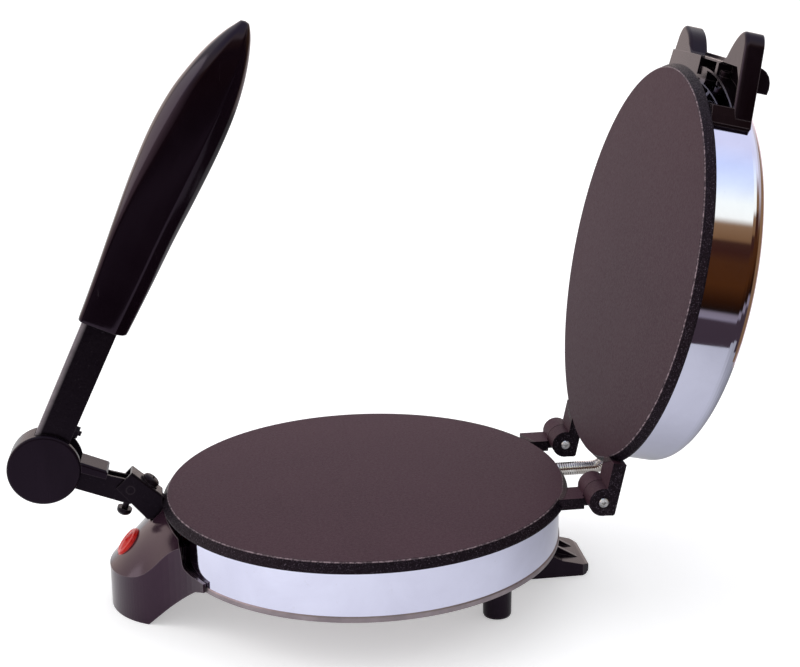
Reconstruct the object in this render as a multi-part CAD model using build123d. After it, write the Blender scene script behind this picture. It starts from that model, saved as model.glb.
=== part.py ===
from build123d import *
import os
from math import sin, cos, tan, pi, radians, degrees, sqrt, atan2

# ---------------------------------------------------------------- driving dimensions (mm)
# Working frame: origin at the centre of the lower plate's cooking face, +X to the rear (lid hinge), +Z up.
# Every node is moved at the end so that the table is z = 0 and the whole object's box is centred in x.
TABLE = 66.0            # height of the lower cooking face above the table
SHIFT_X = -8.234        # centres the object's box on the row origin

R_FACE = 120.0          # cooking face radius
R_RIM = 122.7           # flared rim, widest
RIM_H = 5.8             # rim height
PLATE_T = 9.0           # plate casting thickness
R_BOSS = 115.5          # plate's spigot inside the steel band
R_BAND = 117.5          # steel band, outer
BAND_T = 0.6
BAND_Z = 33.0           # band bottom below the face
PAN_Z = 36.5            # base pan bottom below the face
GAP = 1.0               # gap between the two faces with the lid shut

XH, ZH = 132.6, 0.5     # lid hinge axis, parallel to Y
OPEN_DEG = 102.24       # lid angle in the rest pose, from shut
KN_R = 8.5              # knuckle radius
LUG_T = 8.0             # lid lug thickness
BASE_LUG_T = 6.8        # lower plate lug thickness
PIN_R = 2.5
HPIN_R = 2.0            # rear hinge screws
RUN = 0.05              # radial running clearance of every pin
STATIONS = (-63.6, 34.4)  # near faces of the two hinge stations in y
EAR_W = 14.0            # lid ear width
KN_W = 14.5             # base knuckle width
KN_GAP = 0.5

HX, HZ = -188.75, 21.75   # knee hub axis in the rest pose
VX, VZ = -140.6, 4.8      # link pivot axis
HUB_R = 21.0
HUB_NEAR, HUB_FAR = 10.6, 8.75   # outer faces of the two caps, from the middle
HUB_IN = 6.7              # inner faces of the caps
LINK_HALF = 4.7           # link channel half width
LINK_T = 1.4
ARM_HALF = 6.5            # arm channel half width
ARM_T = 1.4
ARM_DEG = 64.9            # arm direction above the horizontal in the rest pose

BR_HALF = 6.6             # lever bracket half width
BR_T = 1.5

COND_R = 4.3              # wire conduit radius
COND_Y = 24.0
COND_Z = -12.0
LID_GLAND_Z = 25.0

FOOT_X, FOOT_Y, FOOT_R = 69.5, 62.0, 8.6

NODES = {}


# ---------------------------------------------------------------- helpers
def solids_of(x):
    if isinstance(x, (list, tuple, ShapeList)):
        out = []
        for i in x:
            out += solids_of(i)
        return out
    return list(x.solids())


def poly_face(points):
    return Face(Wire.make_polygon([Vector(*p) for p in points], close=True))


def prism_y(pts, y0, y1):
    """Outline in x, z run along y."""
    return Part() + Solid.extrude(poly_face([(x, y0, z) for x, z in pts]), Vector(0, y1 - y0, 0))


def prism_z(pts, z0, z1):
    """Outline in x, y run along z."""
    return Part() + Solid.extrude(poly_face([(x, y, z0) for x, y in pts]), Vector(0, 0, z1 - z0))


def box(x0, x1, y0, y1, z0, z1):
    return prism_z([(x0, y0), (x1, y0), (x1, y1), (x0, y1)], z0, z1)


def rod(a, b, r):
    a, b = Vector(*a), Vector(*b)
    d = b - a
    return Part() + Solid.make_cylinder(r, d.length, Plane(origin=a, z_dir=d))


def cone(a, b, r0, r1):
    a, b = Vector(*a), Vector(*b)
    d = b - a
    return Part() + Solid.make_cone(r0, r1, d.length, Plane(origin=a, z_dir=d))


def tube(a, b, r1, r0):
    return rod(a, b, r1) - rod(a, b, r0)


def turned(pts, a=(0, 0, 0), d=(0, 0, 1)):
    """Profile of (radius, height) pairs turned about the line through a along d."""
    f = poly_face([(r, 0, h) for r, h in pts])
    s = Part() + Solid.revolve(f, 360, Axis.Z)
    return Plane(origin=Vector(*a), z_dir=Vector(*d)) * s


def hexa(a, d, af, t):
    """Hexagonal prism starting at a, along d."""
    c = af / sqrt(3)
    pts = [(c * cos(radians(60 * i)), c * sin(radians(60 * i))) for i in range(6)]
    return Plane(origin=Vector(*a), z_dir=Vector(*d)) * prism_z(pts, 0, t)


def dome_head(a, d, r, h, seg=8):
    """Rounded screw head sitting at a, pointing along d."""
    pts = [(0, 0), (r, 0)] + [
        (r * cos(radians(90 * i / seg)), 0.35 * h + 0.65 * h * sin(radians(90 * i / seg)))
        for i in range(seg)
    ] + [(0, h)]
    return turned(pts, a, d)


def cross_recess(a, d, w, l, depth):
    """Cross-shaped cutter going into a head whose top is at a, looking along -d."""
    p = Plane(origin=Vector(*a), z_dir=Vector(*d))
    c = prism_z([(-l, -w), (l, -w), (l, w), (-l, w)], -depth, 1) + prism_z(
        [(-w, -l), (w, -l), (w, l), (-w, l)], -depth, 1
    )
    return p * c


def ring_pts(r, a0, a1, n):
    return [
        (r * cos(radians(a0 + (a1 - a0) * i / n)), r * sin(radians(a0 + (a1 - a0) * i / n)))
        for i in range(n + 1)
    ]


def lid(shape):
    """From the shut position to the open rest position."""
    t = Pos(XH, 0, ZH) * Rot(0, OPEN_DEG, 0) * Pos(-XH, 0, -ZH)
    if isinstance(shape, (list, tuple)):
        return [t * s for s in shape]
    return t * shape


def add(name, shape):
    NODES[name] = shape


def plate_profile(sign, face):
    """Half section of a plate. sign -1: cooking face up, +1: cooking face down."""
    z = lambda h: face + sign * h
    return [
        (0, z(0)), (119.3, z(0)), (R_FACE, z(0.7)), (R_RIM, z(RIM_H - 0.9)), (R_RIM, z(RIM_H)),
        (R_BOSS, z(RIM_H)), (R_BOSS - 1.5, z(PLATE_T)), (0, z(PLATE_T)),
    ]


# ---------------------------------------------------------------- lower plate
plate = turned(plate_profile(-1, 0.0))
for s in STATIONS:
    k0, k1 = s + EAR_W + KN_GAP, s + EAR_W + KN_GAP + KN_W
    bar = prism_y([(108, -BASE_LUG_T), (123.4, -BASE_LUG_T), (123.4, 0), (108, 0)], s + 9.6, s + 27.6)
    link_bar = prism_y([(122, -BASE_LUG_T), (XH, -BASE_LUG_T), (XH, 0), (122, 0)], k0, k1 - 1.4)
    knuckle = rod((XH, k0, ZH), (XH, k1, ZH), KN_R)
    plate = plate + bar + link_bar + knuckle
    plate = plate - rod((XH, k0 - 1, ZH), (XH, k1 - 2.5, ZH), HPIN_R)
# front tongue that carries the lever bracket, narrow enough to stand between the link's flanges
WDX, WDZ = 0.737, -0.676          # bracket web direction, towards the plate
WNX, WNZ = 0.676, 0.737           # bracket web normal, up and to the rear
web_in = (-139.3 - 1.5 * WNX, 15.6 - 1.5 * WNZ)   # a point on the web's inner face
t0 = (web_in[0] + 7.6 * WDX, web_in[1] + 7.6 * WDZ)
t1 = (web_in[0] + 26.0 * WDX, web_in[1] + 26.0 * WDZ)
tongue = prism_y(
    [t0, t1, (-112, -3.0), (-112, -8.8), (-124, -12.0), (t0[0] - 5.4 * WNX, t0[1] - 5.4 * WNZ)], -2.9, 2.9
) - rod((0, 0, -40), (0, 0, -9.001), 114) - rod((0, 0, 0), (0, 0, 30), 119.5)
BOLT = (-139.3 + 12.9 * WDX, 15.6 + 12.9 * WDZ)
plate = plate + tongue
plate = plate - rod((VX, -9, VZ), (VX, 9, VZ), 3.0)
plate = plate - rod((0, 0, -PLATE_T - 1), (0, 0, -4), 3.0)
plate = plate - rod(
    (BOLT[0] + 2 * WNX, 0, BOLT[1] + 2 * WNZ), (BOLT[0] - 9.0 * WNX, 0, BOLT[1] - 9.0 * WNZ), 2.0
)
add("lower_plate", plate)

# ---------------------------------------------------------------- lower heating pack
EL_R, EL_r = 78.0, 3.2


def element(zc, down):
    """Ring heater with a gap at the front and two cold ends bent towards `down`."""
    ring = Part() + Solid.make_torus(EL_R, EL_r, Plane(origin=(0, 0, zc)))
    gap = prism_z([(0, 0), (-120, -16), (-120, 16)], zc - 6, zc + 6)
    ring = ring - gap
    ends = []
    for sy in (-1, 1):
        a = atan2(16, 120)
        x, y = -EL_R * cos(a), sy * EL_R * sin(a)
        ring = ring + (Part() + Solid.make_sphere(EL_r, Plane(origin=(x, y, zc)), angle1=-90, angle2=90))
        ring = ring + rod((x, y, zc), (x, y, zc + down * 9.0), EL_r)
        ring = ring + rod((x, y, zc + down * 8.5), (x, y, zc + down * 14.0), 1.4)
        ends.append((x, y))
    return ring, ends


low_el, ends = element(-12.3, -1)
add("lower_heating_element", low_el)


def pack_disc(r, z0, z1, hole=3.2):
    d = rod((0, 0, z0), (0, 0, z1), r) - rod((0, 0, z0 - 1), (0, 0, z1 + 1), hole)
    for x, y in ends:
        d = d - rod((x, y, z0 - 1), (x, y, z1 + 1), 4.0)
    return d


add("lower_clamp_plate", pack_disc(98, -16.8, -15.6))
add("lower_insulation", pack_disc(102, -19.8, -16.8))
add("thermostat", rod((42, 0, -15.4), (42, 0, -PLATE_T), 8.0) + box(38, 46, -11, -7, -14.5, -12))
add("thermal_fuse", rod((-8, 44, -12.0), (20, 44, -12.0), 2.4))
stud = rod((0, 0, -41.6), (0, 0, -4.0), 3.0)
add("base_stud", stud)
add(
    "base_nuts",
    [
        hexa((0, 0, -24.0), (0, 0, 1), 10, 4.2) - rod((0, 0, -25), (0, 0, -19), 3.0),
        (hexa((0, 0, -41.0), (0, 0, 1), 10, 4.5) - rod((0, 0, -42), (0, 0, -36), 3.0)),
    ],
)

# ---------------------------------------------------------------- lower band and base pan
band = turned([(R_BAND - BAND_T, -RIM_H), (R_BAND, -RIM_H), (R_BAND, -BAND_Z), (R_BAND - BAND_T, -BAND_Z)])
for s in STATIONS:
    band = band - box(100, 125, s + 9.2, s + 28.0, -LUG_T - 0.4, 0)
band = band - rod((100, COND_Y, COND_Z), (130, COND_Y, COND_Z), 4.6)
band = band - box(-125, -100, -3.2, 3.2, -13.5, 0)
band = band - rod((-130, 0, -24), (-100, 0, -24), 6.0)
HS_PHI = 18.0
for sy in (-1, 1):
    c, s_ = cos(radians(HS_PHI)), sy * sin(radians(HS_PHI))
    band = band - rod((-110 * c, 110 * s_, -27), (-122 * c, 122 * s_, -27), 2.1)
add("lower_band", band)

pan = turned([(0, -PAN_Z), (R_BAND + 0.2, -PAN_Z), (R_BAND + 0.5, -PAN_Z + 0.8), (R_BAND + 0.5, -BAND_Z - 0.7),
              (R_BAND + 0.1, -BAND_Z), (R_BAND - 2.2, -BAND_Z), (R_BAND - 2.2, -PAN_Z + 1.2), (0, -PAN_Z + 1.2)])
pan = pan - rod((0, 0, -40), (0, 0, -30), 3.0)
LEG_SCREWS = [(93.0, -9.0), (93.0, 9.0)]
for x, y in LEG_SCREWS + [(FOOT_X, -FOOT_Y), (FOOT_X, FOOT_Y)]:
    pan = pan - rod((x, y, -40), (x, y, -30), 2.0)
# vent slots under the pan
for k in range(-2, 3):
    pan = pan - box(-46 + 0.0, -16, k * 12 - 2.0, k * 12 + 2.0, -40, -30)
add("base_pan", pan)

# ---------------------------------------------------------------- feet and rear leg
feet, foot_screws = [], []
for sy in (-1, 1):
    y = sy * FOOT_Y
    f = turned(
        [(0, -TABLE), (FOOT_R - 1.6, -TABLE), (FOOT_R - 0.6, -TABLE + 0.5), (FOOT_R - 0.2, -TABLE + 1.6),
         (FOOT_R + 0.2, -PAN_Z - 3.0), (FOOT_R + 1.6, -PAN_Z - 1.2), (FOOT_R + 1.6, -PAN_Z), (0, -PAN_Z)],
        (FOOT_X, y, 0),
    )
    f = f - rod((FOOT_X, y, -PAN_Z - 12), (FOOT_X, y, -PAN_Z + 1), 1.9)
    feet.append(f)
    foot_screws.append(
        rod((FOOT_X, y, -PAN_Z - 11), (FOOT_X, y, -PAN_Z + 1.2), 1.9)
        + dome_head((FOOT_X, y, -PAN_Z + 1.2), (0, 0, 1), 3.6, 2.2)
    )
add("peg_feet", feet)

leg = prism_y(
    [(84, -TABLE), (134.5, -TABLE), (136.4, -TABLE + 1.8), (136.4, -60.2), (134.0, -59.0), (119, -55.2), (110, -50.0), (84, -50.0)],
    -20, 20,
)
leg = leg + box(84, 112, -14, 14, -51, -PAN_Z)
for y0 in (-9.5, 6.5):
    leg = leg + prism_y([(110, -51), (110, -46.5), (113.5, -47.5), (130.5, -57.9), (130.5, -59.5), (112, -56)], y0, y0 + 3)
# corner of the toe cut back on both sides
for sy in (-1, 1):
    leg = leg - prism_z([(131.0, sy * 21), (138, sy * 21), (138, sy * 14.5)], -TABLE - 1, -40)
# hollow underneath
leg = leg - box(88, 108, -10.5, 10.5, -TABLE - 1, -43.0)
leg = leg - prism_y([(112, -TABLE - 1), (131.0, -TABLE - 1), (131.0, -62.6), (119, -59.0), (112, -56.0)], -16.5, 16.5)
INLET_Z = -40.0
for x, y in LEG_SCREWS:
    leg = leg - rod((x, y, -44), (x, y, -30), 1.9)
leg = leg - rod((100, 0, -46.6), (118, 0, -46.6), 4.5) - (rod((112.0, 0, -46.6), (118, 0, -46.6), 6.0) - box(100, 112, -9, 9, -60, -30))
add("rear_leg", leg)
add(
    "base_screws",
    foot_screws
    + [
        rod((x, y, -42.9), (x, y, -PAN_Z + 1.2), 1.9) + dome_head((x, y, -PAN_Z + 1.2), (0, 0, 1), 3.6, 2.2)
        for x, y in LEG_SCREWS
    ],
)
# bush in the rear leg where the mains lead enters
inlet = tube((107.9, 0, -46.6), (114.5, 0, -46.6), 4.5, 3.3) + tube((112.0, 0, -46.6), (114.5, 0, -46.6), 6.0, 3.3)
inlet = inlet - box(107, 112.0, -5, 5, -60, -51.2)
add("cord_inlet_bush", inlet)

# ---------------------------------------------------------------- front terminal housing
def top_z(x, y):
    """Height of the housing's hood."""
    t = max(0.0, min(1.0, (x + 138.0) / 26.0))
    c = 0.0110 - 0.0044 * t * t * (3 - 2 * t)
    return -39.4 + 1.06 * (x + 153.5) - 0.0009 * (x + 153.5) ** 2 - c * y * y


def hood_cutter(drop):
    rows = []
    for i in range(11):
        x = -168 + i * 8.0
        rows.append([Vector(x, -84 + 14 * j, top_z(x, -84 + 14 * j) - drop) for j in range(13)])
    f = Face.make_surface_from_array_of_points(rows)
    return Part() + Solid.extrude(f, Vector(0, 0, 200))


NOSE_R = 45.3


def outline(side):
    """Plan outline: round nose, then the given side points back to the band."""
    nose = [(-110 - NOSE_R * cos(radians(a)), -NOSE_R * sin(radians(a))) for a in range(48, -49, -3)]
    k = side
    rb = R_BAND + 0.35
    a0 = degrees(atan2(k[-1][1], -k[-1][0]))
    back = [(-rb * cos(radians(a0 + (-2 * a0) * i / 24)), rb * sin(radians(a0 + (-2 * a0) * i / 24))) for i in range(25)]
    lower = [(x, -y) for x, y in reversed(k)]
    return nose + k + back + lower


def rise_cutter(lift):
    return prism_y(
        [(-132.2, -TABLE + lift), (-104.4, -38.2 + lift), (-100.0, -36.0 + lift), (-80, -36.0 + lift), (-80, -90), (-170 if lift else -132.2, -90)]
        + ([(-170, -TABLE + lift)] if lift else []),
        -90, 90,
    )


hood = hood_cutter(0)
SIDE = [(-138.6, 35.1), (-136.6, 36.6), (-134.6, 37.9), (-132.5, 39.1), (-130.4, 40.2), (-126.5, 42.1), (-122.7, 43.9)]
WALL = SIDE + [(-119.0, 46.0), (-115.5, 48.6), (-112.3, 51.3), (-109.0, 54.4), (-106.3, 57.4), (-104.0, 60.4), (-101.6, 63.7), (-99.9, 66.4)]
housing = prism_z(outline(WALL), -TABLE, -4.0) - hood
# the wall flares along the band's foot, its end edge sweeping down and back beside the band
EDGE = [(-114.6, -4.0), (-113.6, -8.6), (-112.8, -12.4), (-112.0, -16.0), (-111.6, -18.8), (-111.4, -21.6), (-111.2, -24.0), (-110.5, -26.4),
        (-108.6, -28.2), (-106.4, -29.4), (-103.6, -30.0), (-100.6, -30.5)]
for sy in (-1, 1):
    housing = housing - prism_y(EDGE + [(-90.0, -31.4), (-90.0, -3.0), (-114.6, -3.0)], 43.0 * sy, 90 * sy)
housing = housing - rise_cutter(0)
# hollow inside, open to the band
cr = NOSE_R - 2.6
core = prism_z([(-110 - cr * cos(radians(a)), -cr * sin(radians(a))) for a in range(40, -41, -5)] + [(-104.0, 27.4), (-104.0, -27.4)], -TABLE, -4.0)
core = core - hood_cutter(4.0) - rise_cutter(2.6)
housing = housing - core
# room for the bracket, the plate's rim and the base pan's edge
housing = housing - rod((0, 0, -RIM_H - 0.6), (0, 0, 10), R_RIM + 1.6)
housing = housing - rod((0, 0, -PAN_Z - 0.4), (0, 0, -BAND_Z + 0.4), R_BAND + 0.8)
housing = housing - box(-135, -100, -8.2, 8.2, -15.6, 10)
# the side walls stand clear of the band outside the screw bosses
gap_cut = cone((0, 0, -30.0), (0, 0, -3.0), R_BAND + 1.8, R_BAND + 5.1) - box(-150, 0, -38.5, 38.5, -40, -20)
housing = housing - gap_cut
# screw holes for the two screws that come through the band
for sy in (-1, 1):
    c, s_ = cos(radians(HS_PHI)), sy * sin(radians(HS_PHI))
    housing = housing - rod((-112 * c, 112 * s_, -27), (-127 * c, 127 * s_, -27), 1.7)
housing = Part() + max(housing.solids(), key=lambda q: q.volume)

# neon indicator on the hood
LN = Vector(-0.76, -0.04, 0.65).normalized()
LC = Vector(-144.0, -2.2, top_z(-144.0, -2.2))
lp = Plane(origin=LC, z_dir=LN)
housing = housing - lp * (Part() + Solid.make_cylinder(6.6, 14, Plane(origin=(0, 0, -9))))
housing = housing - lp * (Part() + Solid.make_cylinder(9.35, 14, Plane(origin=(0, 0, -1.2))))
add("terminal_housing", housing)
bezel = turned([(6.9, -1.2), (9.3, -1.2), (9.3, 0.25), (9.05, 0.5), (8.8, 0.5), (8.8, 0.0), (6.9, 0.0)])
add("indicator_bezel", lp * bezel)
lens = turned(
    [(0, -7.5), (6.5, -7.5), (6.5, 0.0), (8.7, 0.0), (8.7, 0.9), (8.3, 1.5), (7.2, 1.8), (6.5, 1.4), (5.7, 2.2), (4.9, 1.8), (4.1, 2.4),
     (3.3, 2.0), (2.5, 2.6), (1.7, 2.2), (0.9, 2.7), (0, 2.7)]
)
lens = lens - (Part() + Solid.make_cylinder(3.6, 8.5, Plane(origin=(0, 0, -8))))
add("indicator_lens", lp * lens)
lamp = Solid.make_cylinder(2.6, 8.0, Plane(origin=(0, 0, -8.2)))
lamp = (Part() + lamp) + (Part() + Solid.make_cylinder(1.2, 2.5, Plane(origin=(0, 0, -10.4))))
add("neon_lamp", lp * lamp)
block = box(-134, -122, -13, 13, -56.0, -46.0)
for yy in (-8.5, 0, 8.5):
    block = block - rod((-128, yy, -50), (-128, yy, -40), 1.8)
block = block - rise_cutter(2.6)
add("terminal_block", block)
add("terminal_screws", [rod((-128, yy, -49.5), (-128, yy, -46.6), 1.6) for yy in (-8.5, 0, 8.5)])
hs = []
for sy in (-1, 1):
    c, s_ = cos(radians(HS_PHI)), sy * sin(radians(HS_PHI))
    r_in = R_BAND - BAND_T - 0.08
    hs.append(
        rod((-r_in * c, r_in * s_, -27), (-126 * c, 126 * s_, -27), 1.7)
        + dome_head((-r_in * c, r_in * s_, -27), (c, -s_, 0), 3.6, 2.2)
    )
add("housing_screws", hs)

# ---------------------------------------------------------------- lever bracket on the plate's tongue
ba, bb = (-148.8, 6.3), (-139.3, 15.6)
bd = (-131.8, -14.2)
bct = (bb[0] + 29.0 * WDX, bb[1] + 29.0 * WDZ)
outer = prism_y([ba, bb, bct, (bct[0], -14.2), bd], -BR_HALF, BR_HALF)
ci = (bb[0] - BR_T * WNX - 8 * WDX, bb[1] - BR_T * WNZ - 8 * WDZ)
cj = (bb[0] - BR_T * WNX + 60 * WDX, bb[1] - BR_T * WNZ + 60 * WDZ)
inner = prism_y([ci, cj, (cj[0], -60), (ci[0] - 20, -60), (ci[0] - 20, ci[1])], -BR_HALF + BR_T, BR_HALF - BR_T)
bracket = outer - inner
ridge = [e for e in bracket.edges() if abs(e.length - 29.0) < 0.3 and abs(abs(e.center().Y) - BR_HALF) < 0.01]
try:
    bracket = Part() + fillet(ridge, 1.3)
except Exception:
    pass
bracket = bracket - rod((0, 0, -RIM_H - 0.3), (0, 0, 30), R_RIM + 0.2) - rod((0, 0, -40), (0, 0, -RIM_H), R_BAND + 0.5)
bracket = bracket - prism_y([t1, (-100, -3.0), (-100, -40), (t0[0] - 5.4 * WNX, t0[1] - 5.4 * WNZ), t0], -3.0, 3.0)
bracket = bracket - rod((VX, -10, VZ), (VX, 10, VZ), PIN_R)
bracket = bracket - rod((BOLT[0] - 5 * WNX, 0, BOLT[1] - 5 * WNZ), (BOLT[0] + 5 * WNX, 0, BOLT[1] + 5 * WNZ), 2.1)
add("lever_bracket", bracket)
bn = (WNX, 0, WNZ)
washer = Plane(origin=Vector(BOLT[0], 0, BOLT[1]), z_dir=Vector(*bn)) * (
    (Part() + Solid.make_cylinder(6.0, 0.9)) - (Part() + Solid.make_cylinder(2.1, 0.9))
)
add("bracket_washer", washer)
b0 = (BOLT[0] + 0.9 * WNX, 0, BOLT[1] + 0.9 * WNZ)
bolt = dome_head(b0, bn, 5.2, 3.2) + rod(b0, (BOLT[0] - 8.2 * WNX, 0, BOLT[1] - 8.2 * WNZ), 2.0)
top = (b0[0] + 3.2 * WNX, 0, b0[2] + 3.2 * WNZ)
bolt = bolt - cross_recess(top, bn, 0.55, 2.6, 1.6)
add("bracket_bolt", bolt)
add("link_pivot_pin", rod((VX, -BR_HALF, VZ), (VX, BR_HALF, VZ), PIN_R))

# ---------------------------------------------------------------- link (steel channel) and its stop screw
ux, uz = (VX - HX), (VZ - HZ)
LL = sqrt(ux * ux + uz * uz)
ux, uz = ux / LL, uz / LL
nx, nz = -uz, ux                    # up from the link


def lk(s, h):
    return (HX + ux * s + nx * h, HZ + uz * s + nz * h)


def arc_at(cx, cz, r, a0, a1, n):
    return [(cx + r * cos(radians(a0 + (a1 - a0) * i / n)), cz + r * sin(radians(a0 + (a1 - a0) * i / n))) for i in range(n + 1)]


base_ang = degrees(atan2(uz, ux))
# side outline: round eye at the hub, deeper body, round eye at the pivot
eye_h = arc_at(HX, HZ, 7.2, base_ang + 90, base_ang + 270, 14)
eye_v = arc_at(VX, VZ, 5.4, base_ang - 90, base_ang + 90, 12)
eye_v = arc_at(VX, VZ, 5.4, base_ang + 5, base_ang + 90, 8)
side = eye_h + [lk(12, -7.8), lk(40, -8.8), lk(53.0, -9.3), lk(56.0, -7.4)] + eye_v + [lk(38, 4.9), lk(12, 5.6)]
link_blank = prism_y(side, -LINK_HALF, LINK_HALF)
link_cut = prism_y([lk(-12, -20), lk(-12, 20), lk(14.5, 20), lk(14.5, 3.9), lk(35.0, 3.3), lk(35.0, 20), lk(70, 20), lk(70, -20)],
                   -LINK_HALF + LINK_T, LINK_HALF - LINK_T)
link = link_blank - link_cut
for cx, cz in ((HX, HZ), (VX, VZ)):
    link = link - rod((cx, -10, cz), (cx, 10, cz), PIN_R + RUN)
# cross block between the flanges that the stop screw is threaded into
SS = 51.4
blk = prism_y([lk(SS - 3.4, -9.1), lk(52.8, -9.2), lk(SS + 2.8, -8.6), lk(SS + 2.8, -3.2), lk(SS - 3.4, -3.2)], -LINK_HALF + LINK_T, LINK_HALF - LINK_T)
sc0, sc1 = lk(SS, -12.6), lk(SS, -2.9)
blk = blk - rod((sc0[0], 0, sc0[1]), (sc1[0], 0, sc1[1]), 1.9)
add("link_channel", link)
add("link_cross_block", blk)
h0 = lk(SS, -13.6)
stop = rod((h0[0], 0, h0[1]), (lk(SS, -3.4)[0], 0, lk(SS, -3.4)[1]), 1.9) + dome_head((h0[0], 0, h0[1]), (-nx, 0, -nz), 4.4, 4.7)
htop = lk(SS, -18.3)
stop = stop - cross_recess((htop[0], 0, htop[1]), (-nx, 0, -nz), 0.5, 2.2, 1.3)
add("link_stop_screw", stop)

# moulded neck lying over the link, next to the hub
NECK_N, NECK_F = 10.0, 8.3
neck = prism_y([lk(15.0, 4.4), lk(15.0, 9.9), lk(20.0, 9.9), lk(34.2, 9.0), lk(35.4, 7.8), lk(35.4, 4.2), lk(22.3, 4.2)], -NECK_N, NECK_F)
neck = neck - prism_y([lk(10, 5.75), lk(45, 4.75), lk(45, -9), lk(10, -9)], -LINK_HALF - 0.05, LINK_HALF + 0.05)
neck = neck - rod((HX, -12, HZ), (HX, 12, HZ), HUB_R + 0.05)
try:
    long_e = [e for e in neck.edges() if e.length > 9 and (abs(e.center().Y + NECK_N) < 0.05 or abs(e.center().Y - NECK_F) < 0.05) and e.center().Z > lk(30, 7)[1] - 2]
    neck = Part() + fillet(long_e, 1.6)
except Exception:
    pass
add("link_neck", neck)

# ---------------------------------------------------------------- handle arm (steel channel)
ax, az = cos(radians(ARM_DEG)), sin(radians(ARM_DEG))
bx, bz = az, -ax                    # across the arm, towards the plate


def am(s, n):
    """Point at s along the arm from the hub axis, n across it (positive towards the plate)."""
    return (HX + ax * s + bx * n, HZ + az * s + bz * n)


ARM_L, ARM_RN = -12.4, 7.6
eye_a = arc_at(HX, HZ, 8.2, ARM_DEG + 100, ARM_DEG + 260, 14)
arm_side = [am(14, ARM_L), am(9.0, -9.6)] + eye_a + [am(12, ARM_RN), am(200, ARM_RN + 0.6), am(206, 2), am(200, ARM_L - 1.2), am(16, ARM_L)]
arm = prism_y(arm_side, -ARM_HALF, ARM_HALF)
arm = arm - prism_y([am(-20, -30), am(13.5, -30), am(13.5, ARM_L + ARM_T), am(230, ARM_L + ARM_T - 1.2), am(230, 30), am(-20, 30)],
                    -ARM_HALF + ARM_T, ARM_HALF - ARM_T)
arm = arm - rod((HX, -10, HZ), (HX, 10, HZ), PIN_R)
GR_SCREWS = [(112.0, -2.0), (172.0, -2.0)]
for s_, n_ in GR_SCREWS:
    p = am(s_, n_)
    arm = arm - rod((p[0], -10, p[1]), (p[0], 10, p[1]), 1.9)
ab = am(24.5, 0)
sb0, sb1 = am(24.5, ARM_RN + 0.0), am(24.5, ARM_RN + 4.4)
add("handle_arm", arm)
add("knee_pin", rod((HX, -ARM_HALF, HZ), (HX, ARM_HALF, HZ), PIN_R))

# clip plate across the open side of the arm with a small bolt and nut
clip = prism_y([am(18.5, ARM_RN - 1.6), am(31.0, ARM_RN - 1.6), am(31.0, ARM_RN - 0.1), am(18.5, ARM_RN - 0.1)], -ARM_HALF + ARM_T, ARM_HALF - ARM_T)
bc0, bc1 = am(25.0, ARM_RN - 6.0), am(25.0, ARM_RN + 2.6)
clip = clip - rod((am(25, ARM_RN - 3)[0], 0, am(25, ARM_RN - 3)[1]), (am(25, ARM_RN + 1)[0], 0, am(25, ARM_RN + 1)[1]), 1.5)
add("arm_clip", clip)
n0 = am(25.0, ARM_RN - 0.1)
sbolt = rod((bc0[0], 0, bc0[1]), (am(25.0, ARM_RN + 4.3)[0], 0, am(25.0, ARM_RN + 4.3)[1]), 1.5)
sbolt = sbolt + hexa((n0[0], 0, n0[1]), (bx, 0, bz), 6.6, 2.8)
sbolt = sbolt + dome_head((bc0[0], 0, bc0[1]), (-bx, 0, -bz), 2.8, 1.6)
add("arm_clip_bolt", sbolt)

# ---------------------------------------------------------------- grip (moulding over the arm)
# outline across the arm: (s, n towards the plate, n away from the plate, half width)
GRIP = [
    (91.0, 13.3, -15.7, 11.0), (104.0, 14.1, -16.2, 11.6), (125.4, 15.3, -18.0, 12.6), (153.7, 16.6, -20.3, 14.0), (182.0, 18.6, -22.0, 15.4),
    (209.0, 20.0, -22.0, 16.2), (232.0, 20.0, -19.9, 16.2), (250.0, 18.3, -15.4, 15.2), (264.0, 15.6, -10.6, 13.0), (275.0, 12.4, -5.0, 9.5),
    (282.0, 9.6, -0.4, 5.6), (285.5, 7.2, 2.6, 2.4),
]


def grip_section(s, np_, nm, w, grow=0.0):
    """Bevelled section: flat sides, long bevels towards the edges."""
    np_, nm, w = np_ + grow, nm - grow, w + grow
    c = (np_ + nm) / 2
    hp, hm = np_ - c, nm - c
    pts = [
        (1.00 * hp, 0.30), (0.86 * hp, 0.62), (0.52 * hp, 0.97), (0.0, 1.0), (0.42 * hm, 1.0), (0.66 * hm, 0.86), (0.93 * hm, 0.46), (1.0 * hm, 0.18),
    ]
    full = [(c + n_, f * w) for n_, f in pts] + [(c + n_, -f * w) for n_, f in reversed(pts)]
    return [(am(s, n_)[0], y_, am(s, n_)[1]) for n_, y_ in full]


def grip_solid(grow=0.0, rows=GRIP):
    wires = [Wire.make_polygon([Vector(*p) for p in grip_section(*r, grow=grow)], close=True) for r in rows]
    return Part() + Solid.make_loft(wires, ruled=True)


grip = grip_solid()
# socket for the arm, open at the bottom and on the side facing the plate for the first stretch
sock = prism_y([am(60, ARM_RN + 0.75), am(207.5, ARM_RN + 0.9), am(207.5, ARM_L - 1.4), am(60, ARM_L - 0.3)], -ARM_HALF - 0.05, ARM_HALF + 0.05)
grip = grip - sock
for s_, n_ in GR_SCREWS:
    p = am(s_, n_)
    grip = grip - rod((p[0], -30, p[1]), (p[0], 30, p[1]), 1.9) - rod((p[0], ARM_HALF + 3.4, p[1]), (p[0], 30, p[1]), 3.9)
add("grip", grip)
gs = []
for s_, n_ in GR_SCREWS:
    p = am(s_, n_)
    sc = rod((p[0], -ARM_HALF - 2.6, p[1]), (p[0], ARM_HALF + 3.4, p[1]), 1.9)
    sc = sc + dome_head((p[0], ARM_HALF + 3.4, p[1]), (0, 1, 0), 3.6, 2.2)
    sc = sc - cross_recess((p[0], ARM_HALF + 5.6, p[1]), (0, 1, 0), 0.45, 1.9, 1.1)
    gs.append(sc)
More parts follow.
